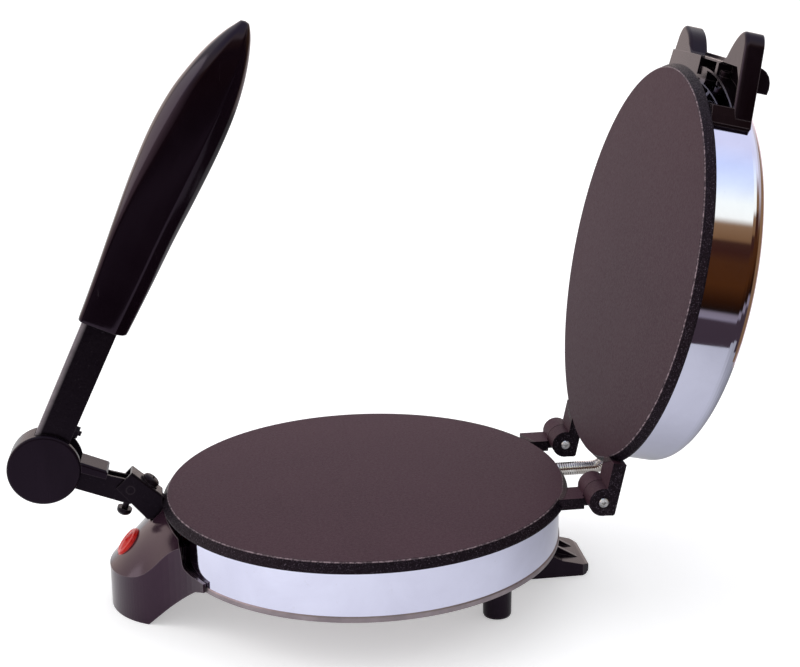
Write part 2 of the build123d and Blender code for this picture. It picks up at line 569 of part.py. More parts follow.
add("grip_screws", gs)

# ---------------------------------------------------------------- knee hub: two moulded caps, open where the link and arm pass
def wall_arc(a0, a1, y0, y1, r1=HUB_R, r0=HUB_R - 1.6):
    n = max(6, int(abs(a1 - a0) / 5))
    w = arc_at(HX, HZ, 40, a0, a1, n)
    wedge = prism_y([(HX, HZ)] + w, y0 - 1, y1 + 1)
    ring = rod((HX, y0, HZ), (HX, y1, HZ), r1) - rod((HX, y0 - 1, HZ), (HX, y1 + 1, HZ), r0)
    return ring & wedge


for name, sy, half in (("hub_near_cap", -1, HUB_NEAR), ("hub_far_cap", 1, HUB_FAR)):
    y_out, y_in = sy * half, sy * HUB_IN
    disc = rod((HX, y_in, HZ), (HX, y_out, HZ), HUB_R)
    rim_edges = [e for e in disc.edges() if e.geom_type == GeomType.CIRCLE and abs(e.center().Y - y_out) < 0.01]
    disc = Part() + fillet(rim_edges, 1.7 if sy < 0 else 1.2)
    y0, y1 = sorted((0.0, y_in))
    cap = disc + wall_arc(101, 180, y0, y1) + wall_arc(180, 250, y0, y1) + wall_arc(250, 311, y0, y1)
    cap = cap - prism_y([am(5, ARM_L - 0.3), am(40, ARM_L - 0.3), am(40, ARM_RN + 0.3), am(5, ARM_RN + 0.3)], -ARM_HALF - 0.15, ARM_HALF + 0.15)
    add(name, cap)

# ---------------------------------------------------------------- lid: plate
up = turned(plate_profile(1, GAP))
for s in STATIONS:
    e0, e1 = s, s + EAR_W
    up = up + prism_y([(108, GAP), (123.4, GAP), (123.4, GAP + LUG_T), (108, GAP + LUG_T)], s, s + 19.6)
    ear = rod((XH, e0, ZH), (XH, e1, ZH), KN_R)
    ear = ear + prism_y([(122, GAP), (XH + 7.6, ZH), (XH + 8.2, ZH + 1.5), (XH + 7.2, GAP + LUG_T - 0.8), (XH + 6.2, GAP + LUG_T), (122, GAP + LUG_T)], e0, e1)
    up = up + ear
    up = up - rod((XH, e0 - 1, ZH), (XH, e1 + 1, ZH), HPIN_R + RUN)
up = up - rod((0, 0, GAP + 4), (0, 0, GAP + PLATE_T + 1), 3.0)
add("upper_plate", lid(up))

pins = []
for s in STATIONS:
    k1 = s + EAR_W + KN_GAP + KN_W
    pin = rod((XH, s - 0.15, ZH), (XH, k1 - 2.6, ZH), HPIN_R)
    head = turned([(0, 0), (2.9, 0), (2.9, 0.7), (2.5, 1.1), (2.2, 1.1), (2.0, 0.8), (0, 0.8)], (XH, s - 0.15, ZH), (0, -1, 0))
    pin = pin + head
    pin = pin - cross_recess((XH, s - 0.95, ZH), (0, -1, 0), 0.4, 1.35, 0.9)
    pins.append(pin)
add("hinge_pins", pins)

# ---------------------------------------------------------------- lid: heating pack
up_el, _ = element(GAP + 12.3, 1)
add("upper_heating_element", lid(up_el))
add("upper_clamp_plate", lid(pack_disc(98, GAP + 15.6, GAP + 16.8)))
add("upper_insulation", lid(pack_disc(102, GAP + 16.8, GAP + 19.8)))
LID_TOP = 41.6
add("lid_stud", lid(rod((0, 0, GAP + 4), (0, 0, LID_TOP - 1.6), 3.0)))
add("lid_inner_nut", lid(hexa((0, 0, GAP + 19.8), (0, 0, 1), 10, 4.2) - rod((0, 0, GAP + 19), (0, 0, GAP + 26), 3.0)))

# ---------------------------------------------------------------- lid: steel cover with shallow dome
def dome_r(r):
    return ROLL_Z + ROLL_R + (LID_TOP - ROLL_Z - ROLL_R) * (1 - (r / (R_BAND - ROLL_R)) ** 2)


zb = GAP + RIM_H
ROLL_R, ROLL_Z = 9.5, 31.0
roll = lambda r, n: [(R_BAND - ROLL_R + r * cos(radians(90 * i / n)), ROLL_Z + r * sin(radians(90 * i / n))) for i in range(n + 1)]
prof = [(R_BAND, zb)] + roll(ROLL_R, 9)
prof += [(r, dome_r(r)) for r in (80, 40, 0)]
inn = [(0, LID_TOP - BAND_T)] + [(r, dome_r(r) - BAND_T) for r in (40, 80)] + list(reversed(roll(ROLL_R - BAND_T, 9))) + [(R_BAND - BAND_T, zb)]
cover = turned(prof + inn)
for s in STATIONS:
    cover = cover - box(100, 125, s - 0.4, s + 20.0, 0, GAP + LUG_T + 0.4)
cover = cover - rod((0, 0, 20), (0, 0, 60), 3.1)
cover = cover - rod((100, COND_Y, LID_GLAND_Z), (130, COND_Y, LID_GLAND_Z), 4.6)
LB_PHI = 11.0
for sy in (-1, 1):
    c, s_ = cos(radians(LB_PHI)), sy * sin(radians(LB_PHI))
    cover = cover - rod((-110 * c, 110 * s_, 25.5), (-122 * c, 122 * s_, 25.5), 2.1)
add("lid_cover", lid(cover))
capnut = turned([(0, 0), (6.2, 0), (6.2, 0.8), (5.0, 1.0), (5.0, 3.4), (4.0, 5.2), (2.2, 6.3), (0, 6.6)], (0, 0, LID_TOP))
capnut = capnut + (rod((0, 0, LID_TOP - 1.0), (0, 0, LID_TOP), 3.1)) - rod((0, 0, LID_TOP - 1.6), (0, 0, LID_TOP - 1.0), 3.05)
add("lid_cap_nut", lid(capnut))

# ---------------------------------------------------------------- lid: crown bracket
CR_B, CR_T = 20.0, 31.2


def ear_edges(drop, sy):
    """Edges of one half's outline, from the middle out to the end wall. drop lowers the ear's tip."""
    d = drop
    low = [(-130.2, 0), (-130.0, 29.5), (-131.0, 31.0)]
    tip = [(-131.0, 31.0), (-140.0 + 0.4 * d, 37.0), (-146.0 + 0.75 * d, 42.6), (-149.4 + d, 47.6), (-150.4 + d, 51.4), (-149.6 + d, 55.3),
           (-146.4 + d, 58.4), (-141.6 + 0.8 * d, 60.3)]
    out = [(-141.6 + 0.8 * d, 60.3), (-124.0, 63.8), (-102.0, 68.0)]
    v = lambda p: Vector(p[0], sy * p[1], CR_B)
    edges = [Edge.make_line(v(a), v(b)) for a, b in zip(low, low[1:])]
    edges.append(Edge.make_spline([v(p) for p in tip], tangents=[v(tip[1]) - v(tip[0]), v(out[1]) - v(out[0])]))
    edges += [Edge.make_line(v(a), v(b)) for a, b in zip(out, out[1:])]
    return edges


rb = R_BAND + 0.1
crown_wire = Wire(ear_edges(0.4, -1) + ear_edges(5.2, 1) + [Edge.make_line(Vector(-102.0, -68.0, CR_B), Vector(-102.0, 68.0, CR_B))])
crown = Part() + Solid.extrude(Face(crown_wire), Vector(0, 0, CR_T - CR_B))
tips = [e for e in crown.edges() if e.geom_type == GeomType.BSPLINE and abs(e.center().Z - CR_B) < 0.01]
crown = Part() + fillet(tips, 2.2)
# feet that hug the band at both ends
for sy in (-1, 1):
    crown = crown + prism_z([(-107.4, sy * 61.0), (-107.4, sy * 66.0), (-102.5, sy * 67.7), (-98.0, sy * 69.2), (-94.8, sy * 66.0), (-100, sy * 58)], 7.2, CR_T)
# step in front of the ears on the underside
crown = crown + prism_z([(-130.1, 5.2), (-130.0, 29.0), (-129.0, 60.0), (-119, 62), (-119, 5.2)], CR_B - 1.4, CR_B + 0.5)
# rounded press rib on top, the lever bears on it
rib = prism_y(
    [(-132.0, CR_T - 1.0), (-132.0, CR_T + 0.6), (-131.5, 34.4), (-130.2, 37.0), (-127.8, 39.2), (-124.6, 40.5), (-121.0, 40.9), (-117.6, 40.4),
     (-117.6, CR_T - 1.0)],
    -57, 57,
)
crown = crown + rib
crown = crown - rod((0, 0, 0), (0, 0, 60), rb)
# two pockets and the thin ribs on the near half, open underneath
crown = crown - (box(-129.0, -100, -20.8, 5.2, CR_B - 2, CR_T - 2.4) - rod((0, 0, 0), (0, 0, 60), 124.1))
crown = crown - ((prism_z([(-128.9, -24.4), (-130.2, -30.4), (-129.8, -55.0), (-123.0, -61.6), (-108.8, -64.6), (-100.0, -60.0), (-105.0, -24.4)], CR_B - 2, CR_T - 2.4))
                 - rod((0, 0, 0), (0, 0, 60), 124.1))
crown = crown - ((prism_z([(-135, -8), (-135, -63.6), (-100.0, -63.6), (-100.0, -8)], 0, CR_T - 3.2) & rod((0, 0, 0), (0, 0, 60), 122.9)))
for sy in (-1, 1):
    c, s_ = cos(radians(LB_PHI)), sy * sin(radians(LB_PHI))
    crown = crown + (rod((-118.2 * c, 118.2 * s_, 25.5), (-127.5 * c, 127.5 * s_, 25.5), 3.4) & box(-129.5, -100, -60, 60, CR_B, CR_T))
    crown = crown - rod((-112 * c, 112 * s_, 25.5), (-126 * c, 126 * s_, 25.5), 1.7)
add("lid_crown", lid(crown))
cs = []
for sy in (-1, 1):
    c, s_ = cos(radians(LB_PHI)), sy * sin(radians(LB_PHI))
    r_in = R_BAND - BAND_T - 0.08
    cs.append(
        rod((-r_in * c, r_in * s_, 25.5), (-125.5 * c, 125.5 * s_, 25.5), 1.7)
        + dome_head((-r_in * c, r_in * s_, 25.5), (c, -s_, 0), 3.6, 2.2)
    )
add("crown_screws", lid(cs))

# ---------------------------------------------------------------- wire conduit between base and lid, with its two glands
def gland(sign):
    g = turned([(3.4, -1.5), (4.5, -1.5), (4.5, 0.0), (6.2, 0.0), (6.2, 1.6), (5.4, 3.0), (3.4, 3.0)])
    return g


xg = sqrt((R_BAND) ** 2 - COND_Y ** 2)      # where the band crosses the conduit's line
gb = Plane(origin=Vector(xg + 0.9, COND_Y, COND_Z), x_dir=Vector(0, 1, 0), z_dir=Vector(1, 0, 0)) * gland(1)
band_cut = rod((0, 0, -30), (0, 0, 0), R_BAND)
ring_in = rod((0, 0, -60), (0, 0, 40), R_BAND) - rod((0, 0, -60), (0, 0, 40), R_BAND - BAND_T - 0.02)
gb = gb - (ring_in - rod((90, COND_Y, COND_Z), (130, COND_Y, COND_Z), 4.61))
add("base_gland", gb)
gl = Plane(origin=Vector(xg + 0.9, COND_Y, LID_GLAND_Z), x_dir=Vector(0, 1, 0), z_dir=Vector(1, 0, 0)) * gland(1)
gl = gl - (ring_in - rod((90, COND_Y, LID_GLAND_Z), (130, COND_Y, LID_GLAND_Z), 4.61))
add("lid_gland", lid(gl))


def to_open(x, z):
    t = radians(OPEN_DEG)
    dx, dz = x - XH, z - ZH
    return XH + dx * cos(t) + dz * sin(t), ZH - dx * sin(t) + dz * cos(t)


c0 = (xg + 3.9, COND_Z)
c2 = to_open(xg + 3.9, LID_GLAND_Z)
t = radians(OPEN_DEG)
dirx, dirz = cos(t), -sin(t)                 # out of the lid's gland
k = (COND_Z - c2[1]) / dirz
c1 = (c2[0] + dirx * k, COND_Z)
turn = pi - abs(atan2(c2[1] - c1[1], c2[0] - c1[0]) - pi)
run1, run2 = c1[0] - c0[0], sqrt((c2[0] - c1[0]) ** 2 + (c2[1] - c1[1]) ** 2)
bend = pi / 2 - (OPEN_DEG - 90) * pi / 180
COND_BEND = 8.5
path = FilletPolyline((c0[0], COND_Y, c0[1]), (c1[0], COND_Y, c1[1]), (c2[0], COND_Y, c2[1]), radius=COND_BEND)
sec = Plane(origin=Vector(c0[0], COND_Y, c0[1]), x_dir=Vector(0, 1, 0), z_dir=Vector(1, 0, 0)) * Circle(COND_R)
conduit = sweep(sec, path=path)
print("conduit runs %.1f %.1f radius %.1f length %.1f, volume ratio %.4f" % (run1, run2, COND_BEND, path.length, conduit.volume / (pi * COND_R ** 2 * path.length)))
add("wire_conduit", conduit)

# ---------------------------------------------------------------- write the nodes
os.makedirs("parts", exist_ok=True)
move = Pos(SHIFT_X, 0, TABLE)
lo, hi = [1e9] * 3, [-1e9] * 3
for name, shape in NODES.items():
    out = [move * s for s in solids_of(shape)]
    body = out[0] if len(out) == 1 else Compound(children=out)
    b = body.bounding_box()
    for i, (p, q) in enumerate(((b.min.X, b.max.X), (b.min.Y, b.max.Y), (b.min.Z, b.max.Z))):
        lo[i], hi[i] = min(lo[i], p), max(hi[i], q)
    export_step(body, os.path.join("parts", name + ".step"))
print("nodes", len(NODES), "box", [round(v, 2) for v in lo], [round(v, 2) for v in hi], "x centre", round((lo[0] + hi[0]) / 2, 3))
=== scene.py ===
from math import sin, cos, pi, radians, sqrt, atan2

import bmesh
import bpy
from mathutils import Matrix, Vector


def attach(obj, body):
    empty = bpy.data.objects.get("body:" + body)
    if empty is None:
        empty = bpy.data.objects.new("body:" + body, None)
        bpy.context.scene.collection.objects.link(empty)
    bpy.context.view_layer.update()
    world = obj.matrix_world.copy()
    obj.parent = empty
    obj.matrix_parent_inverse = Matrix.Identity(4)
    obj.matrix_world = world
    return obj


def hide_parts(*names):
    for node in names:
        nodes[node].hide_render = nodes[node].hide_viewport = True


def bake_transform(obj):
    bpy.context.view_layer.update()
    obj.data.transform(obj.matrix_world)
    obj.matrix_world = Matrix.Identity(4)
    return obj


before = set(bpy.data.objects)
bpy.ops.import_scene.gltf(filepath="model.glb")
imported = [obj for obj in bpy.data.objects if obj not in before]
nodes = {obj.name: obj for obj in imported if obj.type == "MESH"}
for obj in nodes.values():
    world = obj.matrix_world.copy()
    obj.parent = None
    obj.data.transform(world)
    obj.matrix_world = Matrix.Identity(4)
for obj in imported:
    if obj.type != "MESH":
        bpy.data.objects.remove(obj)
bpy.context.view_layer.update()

# ------------------------------------------------------------------ where things are (metres, row frame)
SX, SZ = -0.008234, 0.066
XH, ZH = 0.1326 + SX, 0.0005 + SZ
OPEN = radians(102.24)
HX, HZ = -0.18875 + SX, 0.02175 + SZ
VX, VZ = -0.1406 + SX, 0.0048 + SZ
LID_N = Vector((-sin(OPEN), 0, -cos(OPEN)))      # cooking face normal of the open lid


def lid_open(p):
    x, y, z = p
    dx, dz = x - 0.1326, z - 0.0005
    return Vector((0.1326 + dx * cos(OPEN) + dz * sin(OPEN) + SX, y, 0.0005 - dx * sin(OPEN) + dz * cos(OPEN) + SZ))


# ------------------------------------------------------------------ camera
cam_data = bpy.data.cameras.new("camera")
cam_data.sensor_width = 36.0
cam_data.lens = 66.884
cam_data.shift_x = -0.1
cam_data.shift_y = -0.09187
cam_data.clip_start = 0.01
cam = bpy.data.objects.new("camera", cam_data)
bpy.context.scene.collection.objects.link(cam)
r = Vector((0.984795, -0.17372, -0.000869))
u = Vector((0.041034, 0.227752, 0.972854))
f = Vector((0.168807, 0.958097, -0.231417))
m = Matrix(((r.x, u.x, -f.x), (r.y, u.y, -f.y), (r.z, u.z, -f.z)))
cam.matrix_world = Matrix.Translation((-0.08815, -0.8531, 0.40635)) @ m.to_4x4()
bpy.context.scene.camera = cam


# ------------------------------------------------------------------ material tools
class Mat:
    """A principled material with helpers that add and link nodes."""

    def __init__(self, name):
        self.mat = bpy.data.materials.new(name)
        self.mat.use_nodes = True
        self.t = self.mat.node_tree
        self.n = self.t.nodes
        self.bsdf = self.n["Principled BSDF"]
        self.coord = self.n.new("ShaderNodeTexCoord")

    def put(self, **kw):
        for k, v in kw.items():
            name = k.replace("_", " ")
            if name == "Base Color" and len(v) == 3:
                v = (*v, 1.0)
            self.bsdf.inputs[name].default_value = v
        return self

    def link(self, a, b):
        self.t.links.new(a, b)

    def node(self, kind, **kw):
        x = self.n.new(kind)
        for k, v in kw.items():
            setattr(x, k, v)
        return x

    def value(self, sock, v):
        if hasattr(v, "is_output"):
            self.link(v, sock)
        else:
            sock.default_value = v

    def math(self, op, a, b=0.0, c=0.0, clamp=False):
        x = self.node("ShaderNodeMath", operation=op, use_clamp=clamp)
        for i, v in enumerate((a, b, c)):
            self.value(x.inputs[i], v)
        return x.outputs[0]

    def vec(self, op, a, b=(0, 0, 0)):
        x = self.node("ShaderNodeVectorMath", operation=op)
        self.value(x.inputs[0], a)
        self.value(x.inputs[1], b)
        return x.outputs["Value"] if op in ("DOT_PRODUCT", "LENGTH", "DISTANCE") else x.outputs["Vector"]

    def pos(self):
        return self.coord.outputs["Object"]

    def nrm(self):
        return self.coord.outputs["Normal"]

    def xyz(self, v):
        x = self.node("ShaderNodeSeparateXYZ")
        self.link(v, x.inputs[0])
        return x.outputs

    def noise(self, scale, detail=3.0, rough=0.5, vector=None, dist=0.0):
        x = self.node("ShaderNodeTexNoise")
        x.inputs["Scale"].default_value = scale
        x.inputs["Detail"].default_value = detail
        x.inputs["Roughness"].default_value = rough
        x.inputs["Distortion"].default_value = dist
        self.link(vector or self.pos(), x.inputs["Vector"])
        return x.outputs["Fac"]

    def voronoi(self, scale, vector=None, feature="F1"):
        x = self.node("ShaderNodeTexVoronoi", feature=feature)
        x.inputs["Scale"].default_value = scale
        self.link(vector or self.pos(), x.inputs["Vector"])
        return x.outputs["Distance"]

    def stretch(self, sx, sy, sz, vector=None):
        return self.vec("MULTIPLY", vector or self.pos(), (sx, sy, sz))

    def ramp(self, fac, stops, smooth=False):
        x = self.node("ShaderNodeValToRGB")
        x.color_ramp.interpolation = "EASE" if smooth else "LINEAR"
        els = x.color_ramp.elements
        while len(els) > 1:
            els.remove(els[-1])
        for i, (p, c) in enumerate(stops):
            e = els[0] if i == 0 else els.new(p)
            e.position = p
            e.color = (c, c, c, 1) if isinstance(c, (int, float)) else (*c, 1)
        self.value(x.inputs["Fac"], fac)
        return x.outputs["Color"]

    def mix(self, fac, a, b):
        x = self.node("ShaderNodeMix", data_type="RGBA")
        self.value(x.inputs[0], fac)
        for i, v in ((6, a), (7, b)):
            self.value(x.inputs[i], (*v, 1.0) if isinstance(v, tuple) and len(v) == 3 else v)
        return x.outputs[2]

    def fmix(self, fac, a, b):
        x = self.node("ShaderNodeMix", data_type="FLOAT")
        self.value(x.inputs[0], fac)
        self.value(x.inputs[2], a)
        self.value(x.inputs[3], b)
        return x.outputs[0]

    def remap(self, v, a, b, c, d):
        x = self.node("ShaderNodeMapRange")
        self.value(x.inputs["Value"], v)
        for k, val in (("From Min", a), ("From Max", b), ("To Min", c), ("To Max", d)):
            x.inputs[k].default_value = val
        return x.outputs[0]

    def bump(self, height, strength=0.3, distance=0.0005, normal=None):
        x = self.node("ShaderNodeBump")
        x.inputs["Strength"].default_value = strength
        x.inputs["Distance"].default_value = distance
        self.link(height, x.inputs["Height"])
        if normal is not None:
            self.link(normal, x.inputs["Normal"])
        return x.outputs["Normal"]

    def set(self, name, sock):
        self.link(sock, self.bsdf.inputs[name])
        return self

    def edge_mask_worn_lit(self, dist=0.0008):
        """0 inside, 1 along convex edges."""
        b = self.node("ShaderNodeBevel")
        b.samples = 4
        b.inputs["Radius"].default_value = dist
        g = self.node("ShaderNodeNewGeometry")
        d = self.vec("DOT_PRODUCT", b.outputs["Normal"], g.outputs["Normal"])
        return self.ramp(self.math("SUBTRACT", 1.0, d), [(0.0, 0.0), (0.02, 0.25), (0.12, 1.0)])


# ------------------------------------------------------------------ materials
def plate_material(name, centre, normal, coat_shade=1.0):
    """Coated cooking face inside the rim, rough cast elsewhere, smoother knuckles."""
    m = Mat(name)
    rel = m.vec("SUBTRACT", m.pos(), tuple(centre))
    h = m.vec("DOT_PRODUCT", rel, tuple(normal))
    # radius in the face's plane
    sc = m.node("ShaderNodeVectorMath", operation="SCALE")
    sc.inputs[0].default_value = tuple(normal)
    m.link(h, sc.inputs["Scale"])
    rad = m.vec("LENGTH", m.vec("SUBTRACT", rel, sc.outputs[0]))
    up = m.vec("DOT_PRODUCT", m.nrm(), tuple(normal))
    face = m.math("MULTIPLY", m.remap(rad, 0.1204, 0.1198, 0, 1), m.remap(up, 0.80, 0.95, 0, 1))
    topmask = m.remap(up, 0.85, 0.97, 0, 1)
    ny = m.math("ABSOLUTE", m.xyz(m.nrm())[1])
    lug = m.math("MULTIPLY", m.remap(rad, 0.1228, 0.1232, 0, 1), m.remap(ny, 0.75, 0.55, 0, 1))
    face = m.math("MAXIMUM", face, lug)
    # coating: speckled fine spatter with slow blotches
    fine = m.noise(2600, 2, 0.6)
    mid = m.noise(620, 3, 0.6)
    slow = m.noise(9, 3, 0.55, dist=0.4)
    smear = m.noise(30, 4, 0.6, vector=m.stretch(1.0, 0.35, 1.0), dist=0.3)
    coat = m.mix(m.remap(fine, 0.35, 0.7, 0, 1), (0.0290, 0.0110, 0.0182), (0.0620, 0.0268, 0.0405))
    coat = m.mix(m.remap(slow, 0.3, 0.7, 0, 0.40), coat, (0.0560, 0.0238, 0.0350))
    coat = m.mix(m.remap(smear, 0.55, 0.8, 0, 0.25), coat, (0.0270, 0.0095, 0.0160))
    grain = m.noise(900, 4, 0.65)
    coarse = m.noise(330, 3, 0.6)
    cast = m.mix(m.remap(grain, 0.40, 0.68, 0, 1), (0.0015, 0.0010, 0.0020), (0.0085, 0.0050, 0.0095))
    glint = m.ramp(m.noise(1500, 2, 0.7), [(0.0, 0.0), (0.60, 0.0), (0.68, 1.0)])
    cast = m.mix(m.math("MULTIPLY", glint, 0.42), cast, (0.19, 0.155, 0.20))
    top = m.mix(m.math("MULTIPLY", topmask, 0.85), cast, (0.030, 0.0170, 0.0200))
    # painted highlight: a broken pale line where light catches the rim's edge
    lip = m.math("MULTIPLY", m.remap(rad, 0.1193, 0.1195, 0, 1), m.remap(rad, 0.12005, 0.1198, 0, 1))
    lip = m.math("MULTIPLY", lip, m.math("MULTIPLY", m.remap(up, 0.45, 0.6, 0, 1), m.remap(up, 0.97, 0.88, 0, 1)))
    lip = m.math("MULTIPLY", lip, m.ramp(m.noise(420, 3, 0.7), [(0.0, 0.05), (0.45, 0.25), (0.60, 1.0)]))
    top = m.mix(lip, top, (0.30, 0.225, 0.25))
    # painted shade: this factor scales the coat darker; the lid's face uses 0.80, a darker copy of the same coat
    coat = m.mix(coat_shade, (0.0, 0.0, 0.0), coat)
    m.set("Base Color", m.mix(face, top, coat))
    rough_coat = m.remap(mid, 0.3, 0.7, 0.50, 0.62)
    rough_cast = m.remap(grain, 0.35, 0.7, 0.62, 0.34)
    m.set("Roughness", m.fmix(face, rough_cast, rough_coat))
    b1 = m.math("ADD", m.math("MULTIPLY", fine, 0.5), m.math("MULTIPLY", mid, 0.5))
    b2 = m.math("ADD", m.math("MULTIPLY", grain, 0.55), m.math("MULTIPLY", coarse, 0.6))
    hgt = m.fmix(face, m.math("MULTIPLY", b2, 1.0), m.math("MULTIPLY", b1, 0.16))
    m.set("Normal", m.bump(hgt, 0.55, 0.0009))
    m.put(Specular_IOR_Level=0.13, Specular_Tint=(1.0, 0.72, 0.90, 1.0))
    return m.mat


def band_material(name, axis_c, axis_n, warm=False):
    """Polished steel band: fine lines running round it, faint smudges, a little colour drift."""
    m = Mat(name)
    rel = m.vec("SUBTRACT", m.pos(), tuple(axis_c))
    h = m.vec("DOT_PRODUCT", rel, tuple(axis_n))
    comb = m.node("ShaderNodeCombineXYZ")
    m.link(m.math("MULTIPLY", h, 1.0), comb.inputs[2])
    lines = m.noise(2600, 2, 0.5, vector=comb.outputs[0])
    smudge = m.noise(28, 4, 0.6, dist=0.5)
    spots = m.ramp(m.noise(240, 3, 0.7), [(0.0, 0.0), (0.66, 0.0), (0.72, 1.0)])
    # painted reflection: the steel's colour is tinted lavender like the room light it reflects; the smudges and spots
    # are the band's own
    base = m.mix(m.remap(smudge, 0.3, 0.75, 0, 1), (0.70, 0.71, 0.88), (0.63, 0.635, 0.80))
    base = m.mix(m.math("MULTIPLY", spots, 0.10), base, (0.42, 0.40, 0.46))
    m.set("Base Color", base)
    m.put(Metallic=1.0)
    m.set("Roughness", m.math("ADD", m.remap(smudge, 0.3, 0.8, 0.020, 0.075), m.math("MULTIPLY", lines, 0.03)))
    wav = m.noise(14, 2, 0.5)
    m.set("Normal", m.bump(m.math("ADD", m.math("MULTIPLY", lines, 0.03), m.math("MULTIPLY", wav, 0.8)), 0.10, 0.0012))
    return m.mat


def gloss_black(name, tint=(0.0065, 0.0050, 0.0068), rough=(0.10, 0.24), scale=1.0, level=0.4, edge=0.55):
    """Compression-moulded black phenolic: faint flow marks, fine pores, handling scratches, paler edges that are partly
    wear and partly painted highlight.
    """
    m = Mat(name)
    flow = m.noise(22 * scale, 4, 0.6, vector=m.stretch(1.0, 1.0, 0.45), dist=1.2)
    pores = m.ramp(m.voronoi(900 * scale), [(0.0, 1.0), (0.10, 0.55), (0.22, 0.0)])
    pits = m.math("MULTIPLY", pores, m.ramp(m.noise(160 * scale, 2), [(0.0, 0.0), (0.58, 0.0), (0.66, 1.0)]))
    scr = m.ramp(m.noise(90 * scale, 5, 0.75, vector=m.stretch(5.0, 1.0, 0.6), dist=0.3), [(0.0, 0.0), (0.66, 0.0), (0.70, 1.0)])
    worn_lit_edge = m.edge_mask_worn_lit(0.0007)
    col = m.mix(m.remap(flow, 0.3, 0.7, 0, 1), tint, tuple(min(1, c * 1.9 + 0.001) for c in tint))
    col = m.mix(m.math("MULTIPLY", scr, 0.25), col, (0.030, 0.024, 0.028))
    # painted highlight and wear: convex edges are mixed towards a paler grey, partly handling wear and partly the light
    # they catch
    col = m.mix(m.math("MULTIPLY", worn_lit_edge, edge), col, (0.110, 0.090, 0.096))
    m.set("Base Color", col)
    r_ = m.math("ADD", m.remap(flow, 0.25, 0.75, rough[0], rough[1]), m.math("MULTIPLY", scr, 0.10))
    m.set("Roughness", m.math("ADD", r_, m.math("MULTIPLY", pits, 0.2)))
    hgt = m.math("SUBTRACT", m.math("MULTIPLY", flow, 0.35), m.math("MULTIPLY", pits, 0.35))
    m.set("Normal", m.bump(hgt, 0.10, 0.0008))
    m.put(Specular_IOR_Level=level, Specular_Tint=(0.62, 0.45, 0.66, 1.0))
    return m.mat


def enamel(name, highlight_strip=None):
    """Black stove enamel on folded steel: slight orange peel, paler edges that are partly wear and partly painted
    highlight, bare nicks, and optionally a painted highlight strip along one fold.
    """
    m = Mat(name)
    peel = m.noise(420, 3, 0.55)
    dust = m.ramp(m.noise(700, 3, 0.75), [(0.0, 0.0), (0.64, 0.0), (0.70, 1.0)])
    slow = m.noise(35, 3, 0.5)
    worn_lit_edge = m.edge_mask_worn_lit(0.0009)
    col = m.mix(m.remap(slow, 0.3, 0.7, 0, 1), (0.0024, 0.0014, 0.0024), (0.0052, 0.0034, 0.0050))
    col = m.mix(m.math("MULTIPLY", dust, 0.22), col, (0.06, 0.048, 0.058))
    # painted highlight and wear: convex edges are mixed towards a paler grey, partly handling wear and partly the light
    # they catch
    col = m.mix(m.math("MULTIPLY", worn_lit_edge, 0.28), col, (0.085, 0.068, 0.075))
    if highlight_strip:
        # painted highlight: a paler strip along one fold, where it catches the light
        origin, across, n0, n1 = highlight_strip
        n_ = m.vec("DOT_PRODUCT", m.vec("SUBTRACT", m.pos(), origin), across)
        strip = m.math("MULTIPLY", m.remap(n_, n0, n1, 0, 1), m.remap(m.noise(90, 3, 0.6), 0.3, 0.7, 0.55, 1.0))
        col = m.mix(strip, col, (0.25, 0.215, 0.23))
    m.set("Base Color", col)
    m.set("Roughness", m.remap(peel, 0.3, 0.7, 0.22, 0.36))
    m.set("Normal", m.bump(peel, 0.12, 0.0006))
    m.put(Specular_IOR_Level=0.34, Specular_Tint=(0.22, 0.16, 0.25, 1.0))
    return m.mat


def pan_steel():
    """Thin aluminised base pan: dull silver with handling marks."""
    m = Mat("pan_steel")
    v = m.noise(60, 4, 0.6)
    fine = m.noise(900, 3, 0.6)
    m.set("Base Color", m.mix(m.remap(v, 0.3, 0.7, 0, 1), (0.30, 0.255, 0.275), (0.22, 0.185, 0.205)))
    m.put(Metallic=0.85)
    m.set("Roughness", m.remap(v, 0.3, 0.7, 0.30, 0.45))
    m.set("Normal", m.bump(fine, 0.15, 0.0003))
    return m.mat


def zinc(name, base=(0.62, 0.62, 0.64), dark=(0.36, 0.35, 0.36)):
    m = Mat(name)
    v = m.noise(260, 4, 0.6)
    m.set("Base Color", m.mix(m.remap(v, 0.3, 0.7, 0, 1), base, dark))
    m.put(Metallic=1.0)
    m.set("Roughness", m.remap(v, 0.3, 0.7, 0.20, 0.38))
    m.set("Normal", m.bump(m.noise(1200, 2), 0.15, 0.0003))
    return m.mat


def conduit_material():
    m = Mat("conduit_steel")
    v = m.noise(160, 3, 0.6)
    m.set("Base Color", m.mix(m.remap(v, 0.3, 0.7, 0, 1), (0.80, 0.79, 0.77), (0.52, 0.47, 0.43)))
    m.put(Metallic=1.0)
    m.set("Roughness", m.remap(v, 0.3, 0.7, 0.16, 0.30))
    m.set("Normal", m.bump(m.noise(900, 2), 0.1, 0.0002))
    return m.mat


def rubber():
    m = Mat("heat_rubber")
    v = m.noise(420, 4, 0.6)
    m.set("Base Color", m.mix(v, (0.010, 0.010, 0.011), (0.028, 0.027, 0.028)))
    m.set("Roughness", m.remap(v, 0.3, 0.7, 0.55, 0.75))
    m.set("Normal", m.bump(v, 0.2, 0.0004))
    return m.mat


